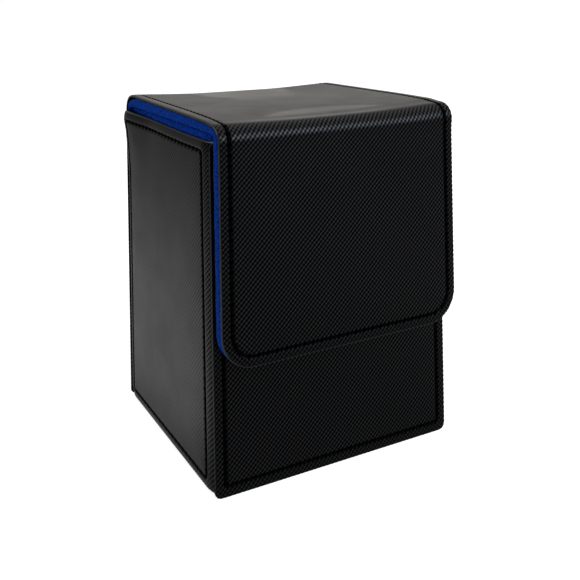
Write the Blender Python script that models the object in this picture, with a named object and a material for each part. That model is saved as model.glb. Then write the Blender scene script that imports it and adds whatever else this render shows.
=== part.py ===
"""Flip-top deck box for trading cards.

A lined board tray stands inside stitched leather panels. A leather cover runs up the back, over
the top as the lid, and down the front as the flap, which magnets hold shut. Metres, +Z up, the
front towards -Y. The origin is on the floor, below the middle of the closed box.
"""

import math

import bmesh
import bpy
from mathutils import Vector

# Driving dimensions of the closed box.
WIDTH = 0.0800
BODY_DEPTH = 0.0759
FLAP_PROUD = 0.0056
HEIGHT = 0.1048
PANEL_HEIGHT = 0.0994
RIM_TOP = 0.1009
LID_THICKNESS = 0.0032
FLAP_BOTTOM = 0.0373

# Sheet thicknesses, and the clearance between neighbouring pieces.
LEATHER = 0.0009
LINING = 0.0006
BOARD = 0.0012
FRONT_BOARD = 0.0015
FLAP_BOARD = 0.0020
GAP = 0.00025

# Corner and fold radii.
PANEL_CORNER = 0.0022
FLAP_CORNER = 0.0100
HINGE_RADIUS = 0.0040
FOLD_RADIUS = 0.0050
LINING_CORNER = 0.0012
SMALLEST_RADIUS = 0.0003
ARC_STEPS = 6

# The seams: thread lying in a groove, parallel to the edges.
SEAM_INSET = 0.0032
GROOVE_WIDTH = 0.0010
GROOVE_DEPTH = 0.0005
THREAD_WIDTH = GROOVE_WIDTH - 2 * GAP
THREAD_HEIGHT = GROOVE_DEPTH - GAP

# The magnets in the flap and their partners in the front panel.
MAGNET_RADIUS = 0.0055
MAGNET_SPREAD = 0.0440
MAGNET_RISE = 0.0110
MAGNET_STEPS = 24

# How far the cover's lining stands back from the leather's edges.
LINING_SETBACK = 0.0004

# Faces of the box along Y.
FLAP_FACE = -(BODY_DEPTH + FLAP_PROUD) / 2
FRONT_FACE = FLAP_FACE + FLAP_PROUD
BACK_FACE = (BODY_DEPTH + FLAP_PROUD) / 2
SIDE_FACE = WIDTH / 2

# Layers of the walls, from the outside inwards: leather, panel board, tray board, lining.
PANEL_THICKNESS = LEATHER + GAP + BOARD
SIDE_TRAY = SIDE_FACE - PANEL_THICKNESS - GAP
SIDE_LINING = SIDE_TRAY - BOARD - GAP
SIDE_CAVITY = SIDE_LINING - LINING
FRONT_BOARD_FACE = FRONT_FACE + LEATHER + GAP
FRONT_TRAY = FRONT_BOARD_FACE + FRONT_BOARD + GAP
FRONT_LINING = FRONT_TRAY + BOARD + GAP
FRONT_CAVITY = FRONT_LINING + LINING
BACK_BOARD_FACE = BACK_FACE - LEATHER - GAP
BACK_TRAY = BACK_BOARD_FACE - BOARD - GAP
BACK_LINING = BACK_TRAY - BOARD - GAP
BACK_CAVITY = BACK_LINING - LINING
BOARD_BOTTOM = LEATHER + GAP
FLOOR_LINING = BOARD_BOTTOM + BOARD + GAP
TRAY_TOP = RIM_TOP - LINING - GAP

# The cover's layers, and where its straight runs meet the bent strips.
LID_BOARD_TOP = HEIGHT - LEATHER - GAP
LID_BOARD = LID_THICKNESS - LEATHER - LINING - 2 * GAP
BACK_STRIP_END = HEIGHT - HINGE_RADIUS - GAP
LID_REAR = BACK_FACE - HINGE_RADIUS - GAP
LID_FRONT = FLAP_FACE + FOLD_RADIUS + GAP
LID_LENGTH = LID_REAR - LID_FRONT
LID_MIDDLE = (LID_REAR + LID_FRONT) / 2
FLAP_TOP = HEIGHT - FOLD_RADIUS - GAP
FLAP_BOARD_FACE = FLAP_FACE + LEATHER + GAP
FLAP_LINING_FACE = FLAP_BOARD_FACE + FLAP_BOARD + GAP + LINING

# A strip bent through a quarter turn comes out straight when it turns about a point at this share
# of its radius from both faces.
PIVOT_SHARE = 1 - math.pi / 4
LID_AXIS = Vector((0, BACK_FACE - PIVOT_SHARE * HINGE_RADIUS, HEIGHT - PIVOT_SHARE * HINGE_RADIUS))
FLAP_AXIS = Vector((0, FLAP_FACE + PIVOT_SHARE * FOLD_RADIUS, HEIGHT - PIVOT_SHARE * FOLD_RADIUS))

# Colour, roughness and metallic value of each kind of material.
LOOKS = {
    "leather": ((0.018, 0.018, 0.020, 1), 0.45, 0.0),
    "lining": ((0.004, 0.030, 0.210, 1), 0.90, 0.0),
    "board": ((0.280, 0.230, 0.170, 1), 0.85, 0.0),
    "thread": ((0.010, 0.010, 0.011, 1), 0.60, 0.0),
    "magnet": ((0.550, 0.550, 0.560, 1), 0.30, 1.0),
}

# Rotations that turn a local +Z, the outward normal, to each side of the box. On a wall, local Y
# then points up.
FACINGS = {
    "front": (math.pi / 2, 0, 0),
    "back": (math.pi / 2, 0, math.pi),
    "left": (math.pi / 2, 0, -math.pi / 2),
    "right": (math.pi / 2, 0, math.pi / 2),
    "top": (0, 0, 0),
    "bottom": (math.pi, 0, 0),
}


def clear_scene():
    for old in list(bpy.data.objects):
        bpy.data.objects.remove(old, do_unlink=True)


def make_material(name, kind):
    colour, roughness, metallic = LOOKS[kind]
    material = bpy.data.materials.new(name)
    material.use_nodes = True
    shader = material.node_tree.nodes["Principled BSDF"]
    shader.inputs["Base Color"].default_value = colour
    shader.inputs["Roughness"].default_value = roughness
    shader.inputs["Metallic"].default_value = metallic
    return material


def add_object(name, mesh, kind, facing, place, parent):
    item = bpy.data.objects.new(name, mesh)
    bpy.context.scene.collection.objects.link(item)
    mesh.materials.append(make_material(name, kind))
    mesh.shade_smooth()
    mesh.set_sharp_from_angle(angle=math.radians(35))
    item.rotation_euler = FACINGS[facing]
    item.location = Vector(place)
    if parent:
        item.parent = parent
        item.location -= parent.matrix_world.translation
    return item


def add_axis(name, place, parent=None):
    """An empty on a joint's axis, which carries the pieces that turn about it."""
    axis = bpy.data.objects.new(name, None)
    bpy.context.scene.collection.objects.link(axis)
    axis.location = place
    if parent:
        axis.parent = parent
        axis.location = place - parent.matrix_world.translation
    bpy.context.view_layer.update()
    return axis


def loft(name, rings, closed=False):
    """A mesh through rings of equal length: capped at both ends, or joined end to end when closed."""
    bm = bmesh.new()
    loops = [[bm.verts.new(point) for point in ring] for ring in rings]
    count = len(loops[0])
    pairs = list(zip(loops, loops[1:]))
    if closed:
        pairs.append((loops[-1], loops[0]))
    else:
        bm.faces.new(loops[0])
        bm.faces.new(loops[-1])
    for here, there in pairs:
        for i in range(count):
            j = (i + 1) % count
            bm.faces.new((here[i], here[j], there[j], there[i]))
    bmesh.ops.recalc_face_normals(bm, faces=bm.faces)
    mesh = bpy.data.meshes.new(name)
    bm.to_mesh(mesh)
    bm.free()
    return mesh


def arc(centre, radius, start, end, steps=ARC_STEPS):
    """Points on an arc, from one angle to another, in degrees."""
    angles = [math.radians(start + (end - start) * i / steps) for i in range(steps + 1)]
    return [(centre[0] + radius * math.cos(a), centre[1] + radius * math.sin(a)) for a in angles]


def outline(width, height, top_radius, bottom_radius, inset):
    """A rectangle with rounded corners about the local origin, pulled in on all sides by the inset."""
    points = []
    corners = (
        (1, 1, 0, top_radius),
        (-1, 1, 90, top_radius),
        (-1, -1, 180, bottom_radius),
        (1, -1, 270, bottom_radius),
    )
    for x_side, y_side, start, corner in corners:
        radius = max(corner - inset, SMALLEST_RADIUS)
        centre = (
            x_side * (width / 2 - inset - radius),
            y_side * (height / 2 - inset - radius),
        )
        points += arc(centre, radius, start, start + 90)
    return points


def plate_rings(size, levels, top_radius, bottom_radius):
    """Rings for a plate, one for each level: an inset from the edges and a depth below the outer face."""
    rings = []
    for inset, depth in levels:
        flat = outline(size[0], size[1], top_radius, bottom_radius, inset)
        rings.append([(x, y, -depth) for x, y in flat])
    return rings


def plate(name, kind, facing, place, size, thickness, corner=SMALLEST_RADIUS, bottom=None, parent=None):
    """A flat sheet whose outer face is centred on the place."""
    bottom_radius = corner if bottom is None else bottom
    rings = plate_rings(size, [(0, 0), (0, thickness)], corner, bottom_radius)
    return add_object(name, loft(name, rings), kind, facing, place, parent)


def grooved_levels(thickness):
    """Levels of a sheet with a seam groove sunk in its outer face."""
    near = SEAM_INSET - GROOVE_WIDTH / 2
    far = SEAM_INSET + GROOVE_WIDTH / 2
    return [(far, 0), (far, GROOVE_DEPTH), (near, GROOVE_DEPTH), (near, 0), (0, 0), (0, thickness)]


def seam_loop(name, facing, place, size, corner):
    """A closed loop of thread in the groove of a panel."""
    near = SEAM_INSET - THREAD_WIDTH / 2
    far = SEAM_INSET + THREAD_WIDTH / 2
    levels = [(near, 0), (near, THREAD_HEIGHT), (far, THREAD_HEIGHT), (far, 0)]
    rings = plate_rings(size, levels, corner, corner)
    return add_object(name, loft(name, rings, closed=True), "thread", facing, place, None)


def bar_along_x(name, kind, facing, place, profile, length, parent=None):
    """A bar of constant section along local X. The profile's points are local Y and Z."""
    rings = [[(x, y, z) for y, z in profile] for x in (-length / 2, length / 2)]
    return add_object(name, loft(name, rings), kind, facing, place, parent)


def bar_along_y(name, kind, facing, place, profile, length, parent=None):
    """A bar of constant section along local Y. The profile's points are local X and Z."""
    rings = [[(x, y, z) for x, z in profile] for y in (-length / 2, length / 2)]
    return add_object(name, loft(name, rings), kind, facing, place, parent)


def cut(item, tool_mesh, facing, place, parent):
    """Takes the tool's shape away from an item."""
    tool = add_object(tool_mesh.name, tool_mesh, "board", facing, place, parent)
    tool.hide_render = True
    tool.display_type = "WIRE"
    modifier = item.modifiers.new("cut", "BOOLEAN")
    modifier.operation = "DIFFERENCE"
    modifier.solver = "EXACT"
    modifier.object = tool


def disc_mesh(name, radius, thickness):
    rings = []
    for z in (0, -thickness):
        turn = arc((0, 0), radius, 0, 360, MAGNET_STEPS)[:-1]
        rings.append([(x, y, z) for x, y in turn])
    return loft(name, rings)


def make_side_panel(side, facing):
    """A leather wrap turned round a board, with its seam."""
    depth = BACK_BOARD_FACE - FRONT_BOARD_FACE
    size = (depth, PANEL_HEIGHT)
    x = SIDE_FACE if facing == "right" else -SIDE_FACE
    inwards = -1 if facing == "right" else 1
    place = Vector((x, (BACK_BOARD_FACE + FRONT_BOARD_FACE) / 2, PANEL_HEIGHT / 2))
    pocket = [(0, PANEL_THICKNESS), (LEATHER, PANEL_THICKNESS), (LEATHER, LEATHER)]
    levels = grooved_levels(PANEL_THICKNESS)[:-1] + pocket
    rings = plate_rings(size, levels, PANEL_CORNER, PANEL_CORNER)
    name = side + "_panel_leather"
    add_object(name, loft(name, rings), "leather", facing, place, None)
    seam_loop(side + "_panel_thread", facing, place, size, PANEL_CORNER)
    board_size = (depth - 2 * (LEATHER + GAP), PANEL_HEIGHT - 2 * (LEATHER + GAP))
    board_place = place + Vector((inwards * (LEATHER + GAP), 0, 0))
    board_corner = PANEL_CORNER - LEATHER - GAP
    plate(side + "_panel_board", "board", facing, board_place, board_size, BOARD, corner=board_corner)


def make_front_panel():
    """The stitched leather front and its board, which holds the keeper magnets."""
    size = (WIDTH, PANEL_HEIGHT)
    place = Vector((0, FRONT_FACE, PANEL_HEIGHT / 2))
    rings = plate_rings(size, grooved_levels(LEATHER), PANEL_CORNER, PANEL_CORNER)
    name = "front_panel_leather"
    add_object(name, loft(name, rings), "leather", "front", place, None)
    seam_loop("front_panel_thread", "front", place, size, PANEL_CORNER)
    board_top = PANEL_HEIGHT - LEATHER
    board_place = Vector((0, FRONT_BOARD_FACE, (board_top + BOARD_BOTTOM) / 2))
    board_size = (2 * SIDE_TRAY, board_top - BOARD_BOTTOM)
    board = plate("front_panel_board", "board", "front", board_place, board_size, FRONT_BOARD)
    add_magnets("keeper_magnet", board, FRONT_BOARD_FACE, FRONT_BOARD, None)


def make_back_panel():
    """The cover's leather up the back, its two seams and its board."""
    place = Vector((0, BACK_FACE, BACK_STRIP_END / 2))
    strip("back_leather", "back", place, BACK_STRIP_END, None)
    seam_lines("back_thread", "back", place, BACK_STRIP_END, None)
    board_place = Vector((0, BACK_BOARD_FACE, (PANEL_HEIGHT + BOARD_BOTTOM) / 2))
    board_size = (2 * SIDE_TRAY, PANEL_HEIGHT - BOARD_BOTTOM)
    plate("back_board", "board", "back", board_place, board_size, BOARD)


def strip(name, facing, place, length, parent):
    """A straight run of the cover's leather, with a groove near each side edge."""
    near = WIDTH / 2 - SEAM_INSET - GROOVE_WIDTH / 2
    far = WIDTH / 2 - SEAM_INSET + GROOVE_WIDTH / 2
    profile = [(WIDTH / 2, -LEATHER), (WIDTH / 2, 0)]
    profile += [(far, 0), (far, -GROOVE_DEPTH), (near, -GROOVE_DEPTH), (near, 0)]
    profile += [(-x, z) for x, z in reversed(profile)]
    bar_along_y(name, "leather", facing, place, profile, length, parent)


def seam_lines(name, facing, place, length, parent):
    """The two straight seams of a run of the cover."""
    for label, side in (("left", -1), ("right", 1)):
        local_side = -side if facing == "back" else side
        middle = local_side * (WIDTH / 2 - SEAM_INSET)
        near = middle - THREAD_WIDTH / 2
        far = middle + THREAD_WIDTH / 2
        profile = [(near, 0), (far, 0), (far, -THREAD_HEIGHT), (near, -THREAD_HEIGHT)]
        bar_along_y(f"{name}_{label}", "thread", facing, place, profile, length, parent)


def make_base():
    """The leather sheet that the box stands on."""
    depth = BACK_BOARD_FACE - FRONT_BOARD_FACE
    place = (0, (BACK_BOARD_FACE + FRONT_BOARD_FACE) / 2, 0)
    plate("base_leather", "leather", "bottom", place, (2 * SIDE_TRAY, depth), LEATHER)


def make_tray_boards():
    """The five boards of the tray."""
    side_depth = BACK_TRAY - FRONT_TRAY
    height = TRAY_TOP - BOARD_BOTTOM
    middle_y = (BACK_TRAY + FRONT_TRAY) / 2
    middle_z = (TRAY_TOP + BOARD_BOTTOM) / 2
    end_width = 2 * (SIDE_CAVITY - GAP)
    walls = (
        ("left", (-SIDE_TRAY, middle_y, middle_z), side_depth),
        ("right", (SIDE_TRAY, middle_y, middle_z), side_depth),
        ("front", (0, FRONT_TRAY, middle_z), end_width),
        ("back", (0, BACK_TRAY, middle_z), end_width),
    )
    for side, place, width in walls:
        plate(f"tray_{side}_board", "board", side, place, (width, height), BOARD)
    base_size = (2 * SIDE_LINING, BACK_LINING - FRONT_LINING)
    base_place = (0, (BACK_LINING + FRONT_LINING) / 2, BOARD_BOTTOM)
    plate("tray_base_board", "board", "bottom", base_place, base_size, BOARD)


def lining_profile(has_lip):
    """The section of a wall's lining: up the inside, over the board, and down a short lip.

    The points are up, from the rim's top, and outwards, from the tray board's outer face.
    """
    inside = -(BOARD + GAP + LINING)
    foot = FLOOR_LINING - RIM_TOP
    profile = [(foot, inside), (0, inside)]
    if has_lip:
        lip_end = PANEL_HEIGHT + GAP - RIM_TOP
        profile += [(0, GAP + LINING), (lip_end, GAP + LINING), (lip_end, GAP), (-LINING, GAP)]
    else:
        profile += [(0, 0), (-LINING, 0)]
    profile += [(-LINING, inside + LINING), (foot, inside + LINING)]
    return profile


def make_tray_lining():
    """The blue lining of the four walls and the floor."""
    middle_y = (BACK_TRAY + FRONT_TRAY) / 2
    side_depth = BACK_TRAY - FRONT_TRAY
    end_width = 2 * (SIDE_CAVITY - GAP)
    lipped = lining_profile(has_lip=True)
    plain = lining_profile(has_lip=False)
    bar_along_x("lining_left", "lining", "left", (-SIDE_TRAY, middle_y, RIM_TOP), lipped, side_depth)
    bar_along_x("lining_right", "lining", "right", (SIDE_TRAY, middle_y, RIM_TOP), lipped, side_depth)
    bar_along_x("lining_front", "lining", "front", (0, FRONT_TRAY, RIM_TOP), lipped, end_width)
    bar_along_x("lining_back", "lining", "back", (0, BACK_TRAY, RIM_TOP), plain, end_width)
    floor_size = (end_width, BACK_CAVITY - FRONT_CAVITY - 2 * GAP)
    floor_place = (0, (BACK_CAVITY + FRONT_CAVITY) / 2, FLOOR_LINING)
    plate("lining_floor", "lining", "bottom", floor_place, floor_size, LINING)


def lining_wrap(name, facing, place, size, board, corner, bottom, axis):
    """Lining turned up round the edges of a board: a shallow tray, its outer face centred on the place."""
    depth = LINING + GAP + board
    levels = [(0, 0), (0, depth), (LINING, depth), (LINING, LINING)]
    rings = plate_rings(size, levels, corner, bottom)
    add_object(name, loft(name, rings), "lining", facing, place, axis)


def make_lid(axis):
    """The lid: leather with its two seams, and a board wrapped in lining."""
    strip("lid_leather", "top", (0, LID_MIDDLE, HEIGHT), LID_LENGTH, axis)
    seam_lines("lid_thread", "top", (0, LID_MIDDLE, HEIGHT), LID_LENGTH, axis)
    width = WIDTH - 2 * LINING_SETBACK
    lining_place = (0, LID_MIDDLE, HEIGHT - LID_THICKNESS)
    size = (width, LID_LENGTH)
    lining_wrap("lid_lining", "bottom", lining_place, size, LID_BOARD, LINING_CORNER, LINING_CORNER, axis)
    inset = LINING + GAP
    board_size = (width - 2 * inset, LID_LENGTH - 2 * inset)
    board_place = (0, LID_MIDDLE, LID_BOARD_TOP)
    plate("lid_board", "board", "top", board_place, board_size, LID_BOARD, parent=axis)


def bent_band(centre, outer, thickness, start, end):
    """The section of a strip bent round a fold."""
    return arc(centre, outer, start, end) + arc(centre, outer - thickness, end, start)


def make_bent_strips(axis):
    """The leather and the lining that bend: at the lid's rear edge, and where the flap folds down."""
    hinge_centre = (BACK_FACE - HINGE_RADIUS, HEIGHT - HINGE_RADIUS)
    fold_centre = (FLAP_FACE + FOLD_RADIUS, HEIGHT - FOLD_RADIUS)
    lining_width = WIDTH - 2 * LINING_SETBACK
    bends = (
        ("hinge", hinge_centre, HINGE_RADIUS, 0, 90, None),
        ("fold", fold_centre, FOLD_RADIUS, 90, 180, axis),
    )
    for label, centre, radius, start, end, parent in bends:
        leather = bent_band(centre, radius, LEATHER, start, end)
        lining = bent_band(centre, radius - LEATHER - GAP, LINING, start, end)
        bar_along_x(label + "_leather", "leather", "top", (0, 0, 0), leather, WIDTH, parent)
        bar_along_x(label + "_lining", "lining", "top", (0, 0, 0), lining, lining_width, parent)


def flap_seam_band(width, height, near, far, overshoot):
    """The section of a seam that runs down both sides of the flap and along its bottom edge."""
    centre = (FLAP_CORNER - width / 2, FLAP_CORNER - height / 2)
    edges = []
    for inset in (near, far):
        left = [(inset - width / 2, height / 2 + overshoot)] + arc(centre, FLAP_CORNER - inset, 180, 270)
        right = [(-x, y) for x, y in reversed(left)]
        edges.append(left + right)
    outer, inner = edges
    return outer + list(reversed(inner))


def make_flap(axis):
    """The flap: leather with a seam, a board that holds the magnets, and lining."""
    height = FLAP_TOP - FLAP_BOTTOM
    middle = (FLAP_TOP + FLAP_BOTTOM) / 2
    place = Vector((0, FLAP_FACE, middle))
    size = (WIDTH, height)
    leather = plate(
        "flap_leather", "leather", "front", place, size, LEATHER, bottom=FLAP_CORNER, parent=axis
    )
    half_groove = GROOVE_WIDTH / 2
    groove = flap_seam_band(WIDTH, height, SEAM_INSET - half_groove, SEAM_INSET + half_groove, GAP)
    rings = [[(x, y, z) for x, y in groove] for z in (GROOVE_DEPTH, -GROOVE_DEPTH)]
    cut(leather, loft("flap_groove_tool", rings), "front", place, axis)
    half_thread = THREAD_WIDTH / 2
    thread = flap_seam_band(WIDTH, height, SEAM_INSET - half_thread, SEAM_INSET + half_thread, 0)
    rings = [[(x, y, z) for x, y in thread] for z in (0, -THREAD_HEIGHT)]
    add_object("flap_thread", loft("flap_thread", rings), "thread", "front", place, axis)

    lining_place = Vector((0, FLAP_LINING_FACE, middle))
    lining_size = (WIDTH - 2 * LINING_SETBACK, height - 2 * LINING_SETBACK)
    lining_bottom = FLAP_CORNER - LINING_SETBACK
    lining_wrap(
        "flap_lining", "back", lining_place, lining_size, FLAP_BOARD, LINING_CORNER, lining_bottom, axis
    )

    inset = LINING + GAP
    board_place = Vector((0, FLAP_BOARD_FACE, middle))
    board_size = (lining_size[0] - 2 * inset, lining_size[1] - 2 * inset)
    board_bottom = lining_bottom - inset
    board = plate(
        "flap_board", "board", "front", board_place, board_size, FLAP_BOARD,
        bottom=board_bottom, parent=axis,
    )
    add_magnets("flap_magnet", board, FLAP_BOARD_FACE, FLAP_BOARD, axis)


def add_magnets(name, board, face, thickness, parent):
    """Two magnets let into a board, level with its outer face."""
    for label, side in (("left", -1), ("right", 1)):
        x = side * MAGNET_SPREAD / 2
        z = FLAP_BOTTOM + MAGNET_RISE
        hole = disc_mesh(f"{name}_{label}_tool", MAGNET_RADIUS + GAP, thickness + 2 * GAP)
        cut(board, hole, "front", (x, face - GAP, z), parent)
        disc = disc_mesh(f"{name}_{label}", MAGNET_RADIUS, thickness)
        add_object(f"{name}_{label}", disc, "magnet", "front", (x, face, z), parent)


def build():
    clear_scene()
    lid_axis = add_axis("lid_hinge_axis", LID_AXIS)
    flap_axis = add_axis("flap_fold_axis", FLAP_AXIS, lid_axis)
    make_base()
    make_tray_boards()
    make_tray_lining()
    make_side_panel("left", "left")
    make_side_panel("right", "right")
    make_front_panel()
    make_back_panel()
    make_lid(lid_axis)
    make_bent_strips(lid_axis)
    make_flap(flap_axis)
    bpy.context.view_layer.update()


build()
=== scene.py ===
import math

import bpy
import numpy as np
from mathutils import Matrix, Vector


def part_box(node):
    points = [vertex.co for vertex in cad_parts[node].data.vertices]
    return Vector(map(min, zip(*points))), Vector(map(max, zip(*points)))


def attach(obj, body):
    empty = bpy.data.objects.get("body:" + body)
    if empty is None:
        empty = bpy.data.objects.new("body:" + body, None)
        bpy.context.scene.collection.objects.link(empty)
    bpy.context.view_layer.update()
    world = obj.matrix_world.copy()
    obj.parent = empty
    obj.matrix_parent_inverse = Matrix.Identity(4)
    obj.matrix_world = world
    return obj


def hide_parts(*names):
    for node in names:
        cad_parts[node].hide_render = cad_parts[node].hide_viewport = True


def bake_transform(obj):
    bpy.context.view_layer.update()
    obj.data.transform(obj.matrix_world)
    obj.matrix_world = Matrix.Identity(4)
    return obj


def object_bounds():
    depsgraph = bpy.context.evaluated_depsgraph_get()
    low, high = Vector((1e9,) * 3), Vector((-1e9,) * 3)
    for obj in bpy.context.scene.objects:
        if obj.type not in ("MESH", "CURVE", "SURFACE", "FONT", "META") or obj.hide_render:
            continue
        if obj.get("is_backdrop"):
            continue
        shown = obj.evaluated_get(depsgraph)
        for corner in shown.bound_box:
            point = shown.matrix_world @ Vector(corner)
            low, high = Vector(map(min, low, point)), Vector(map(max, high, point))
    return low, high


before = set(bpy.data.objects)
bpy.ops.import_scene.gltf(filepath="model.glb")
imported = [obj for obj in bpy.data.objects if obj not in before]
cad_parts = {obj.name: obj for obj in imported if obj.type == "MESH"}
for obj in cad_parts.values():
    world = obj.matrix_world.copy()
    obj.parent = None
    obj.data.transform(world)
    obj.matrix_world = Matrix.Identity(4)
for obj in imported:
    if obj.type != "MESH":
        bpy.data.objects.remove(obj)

# Flip-top card deck box: sewn panels of embossed black leatherette and a blue microfibre lining, over the
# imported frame. Metres, +Z up, the front towards -Y.

CAD_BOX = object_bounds()


def height_of(node):
    low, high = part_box(node)
    return high.z - low.z


# Faces of the closed box, read from the frame.
FRONT_LOW, FRONT_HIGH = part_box("front_panel_leather")
LEFT_LOW, LEFT_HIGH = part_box("left_panel_leather")
BASE_LOW, BASE_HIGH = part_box("base_leather")
FLAP_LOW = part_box("flap_leather")[0]
HALF_WIDTH = FRONT_HIGH.x
FRONT_FACE = FRONT_LOW.y
RIGHT_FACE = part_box("right_panel_leather")[1].x
BACK_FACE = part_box("back_leather")[1].y
FLAP_FACE = FLAP_LOW.y
FLAP_BOTTOM = FLAP_LOW.z
TOP_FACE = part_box("lid_leather")[1].z
PANEL_TOP = LEFT_HIGH.z
PANEL_MIDDLE = (LEFT_HIGH.y + LEFT_LOW.y) / 2
HINGE_RADIUS = height_of("hinge_leather")
FOLD_RADIUS = height_of("fold_leather")
SHEET = height_of("lid_leather")

# The emboss: a staggered lattice of beads, with ridges that rise from lower left to upper right.
WEAVE_REPEAT = 0.00145
WEAVE_HEIGHT = 0.00010
STEP = WEAVE_REPEAT / 4
RIDGE_SHARE = 0.55
MARGIN_EMBOSS = 0.8

# The part of a turned edge that gets a painted highlight: where it is and how far it reaches, as turns of
# the normal in radians.
HIGHLIGHT_TURN = 0.95
HIGHLIGHT_SPREAD = 0.85

# Seams: stitches in a sunken line without emboss, parallel to the edges.
SEAM_INSET = 0.0032
SEAM_CORNER = 0.0012
GROOVE_DEPTH = 0.00048
GROOVE_WIDTH = 0.00040
BARE_WIDTH = 0.00048
HOLE_DEPTH = 0.00030
HOLE_WIDTH = 0.00050
STITCH_PITCH = 0.0029
STITCH_GAP = 0.0005
STITCH_SLANT = 0.00009
STITCH_ARCH = 0.00009
STITCH_DIVE = 0.00034
STITCH_RINGS = 9
STITCH_SIDES = 8
THREAD_RADIUS = 0.00021
THREAD_FLATNESS = 0.85

# How far the padding takes to rise from a seam, and how much wider the side panels' front margin is.
PADDING_REACH = 0.005
FRONT_STRIP = 0.0021

# The cover's sheet and its turned edges.
COVER_CROWN = 0.00030
COVER_SHEET = 0.0011
FLAP_CORNER = 0.0100

# How far the tray's padded rim stands up to the lid.
RIM_LIFT = 0.00060
RIM_BULGE = 0.00070

# The linings' surface waves a little.
LINING_SWELL = 0.00004

# The lid's shape: its sides curl up, more so at the hinge, its middle sags and it is slightly twisted.
LID_DISH = 0.00130
LID_LIFT = 0.00040
LID_SAG = 0.00020
LID_TWIST = 0.00040
CURL_POWER = 2.5
DISH_BEFORE_HINGE = 0.004
DISH_REAR_RAMP = 0.014
DISH_PAST_FOLD = 0.005
DISH_FRONT_RAMP = 0.011

# At the hinge the cover is tucked in. A pair of widths is for the rear and the front of a peak.
HINGE_TUCK = 0.00085
TUCK_WIDTHS = (0.0045, 0.0034)
HINGE_CLEARANCE = 0.00160

# Towards the fold the lid first swells, then droops, less so at its sides. The right corner of the fold
# stands up instead.
LID_PUFF = 0.00024
PUFF_BEFORE_FOLD = 0.022
PUFF_WIDTHS = (0.030, 0.012)
FOLD_DROOP = 0.00070
DROOP_WIDTHS = (0.0115, 0.0045)
SIDES_HOLD = 0.85
FOLD_CORNER = 0.00080
CORNER_WIDTH = 0.004

# The lining under the leather: its glue line, its thickness at the hinge, and its share of the lid's curl.
GLUE_LINE = 0.00025
HINGE_LINING = 0.0015
LINING_FOLLOW = 0.35

# The flap's padding, which swells along a ramp from the fold.
FLAP_SWELL = 0.00080
SWELL_RAMP = 0.0075

# The side panels flare and are drawn up at their upper rear corners. Pairs are a ramp's start and length,
# from the panel's middle.
FLARE = 0.00120
TOP_FLARE = 0.45
FLARE_UPWARD = (0.028, 0.020)
TOP_FLARE_UPWARD = (0.042, 0.006)
FLARE_REARWARD = (0.010, 0.028)
PANEL_LIFT = 0.00120
LIFT_UPWARD = (0.020, 0.028)
LIFT_REARWARD = (-0.018, 0.055)
LIFT_POWER = 1.3

# Colours of the leather, its thread and the lining. The leather's pit colour is painted shade in the pits
# between the beads, its grey is a painted highlight on its rims, and its seam black is painted shade in the
# seams' groove and needle holes.
PIT_SHADE_BLACK = (0.0006, 0.0006, 0.0008, 1)
CREST_BLACK = (0.0075, 0.0078, 0.0092, 1)
HIGHLIGHT_GREY = (0.0720, 0.0720, 0.0730, 1)
SEAM_SHADE_BLACK = (0.0005, 0.0005, 0.0006, 1)
THREAD_BLACK = (0.0010, 0.0010, 0.0012, 1)
THREAD_GREY = (0.0035, 0.0035, 0.0040, 1)
DEEP_BLUE = (0.0004, 0.018, 0.190, 1)
BRIGHT_BLUE = (0.0022, 0.090, 0.720, 1)
SHEEN_BLUE = (0.02, 0.25, 1.0, 1)

# The camera stands level at the photograph's viewing angle, and its frame is shifted down to the box.
EYE_FROM_FOOT = Vector((-0.0928, -0.2208, 0.1399))
EYE_TURN = math.radians(28.31)
EYE_ROLL = math.radians(-0.99)
LENS = 53.45
FRAME_SHIFT = -0.508

# How bright the floor looks to the camera, and is to the box: at the left, at the right and everywhere.
FLOOR_GLOW = (0.86, 1.0)
FLOOR_BOUNCE = 0.48
FLOOR_RIGHT = 0.55
FLOOR_DIM = 0.16

TURN = 2 * math.pi


def new_object(name, data):
    item = bpy.data.objects.new(name, data)
    bpy.context.scene.collection.objects.link(item)
    return item


def smooth(value):
    value = np.clip(value, 0.0, 1.0)
    return value * value * (3 - 2 * value)


def rising(value, start, length):
    """A smooth ramp from 0 at the start to 1 a length further."""
    return smooth((value - start) / length)


def falling(value, stop, length):
    """A smooth ramp from 1 to 0, which ends at the stop."""
    return smooth((stop - value) / length)


def peak(value, widths):
    """A smooth peak of height 1 at 0. A pair of widths is for below and above 0."""
    if isinstance(widths, tuple):
        widths = np.where(value < 0, *widths)
    return np.exp(-((value / widths) ** 2))


# ---------------------------------------------------------------- surfaces


def lid_dish(u, rearness):
    """How far the lid stands above its plane, from its front (rearness 0) to its rear (1)."""
    across = u / HALF_WIDTH
    curl = (LID_DISH + LID_LIFT * rearness) * np.abs(across) ** CURL_POWER
    return curl - LID_SAG + LID_TWIST * across * (1 - 2 * rearness)


def panel_lift(rearward):
    """How far a side panel's top edge is drawn up, at a distance behind the panel's middle."""
    start, length = LIFT_REARWARD
    return PANEL_LIFT * np.clip((rearward - start) / length, 0, 1) ** LIFT_POWER


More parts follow.
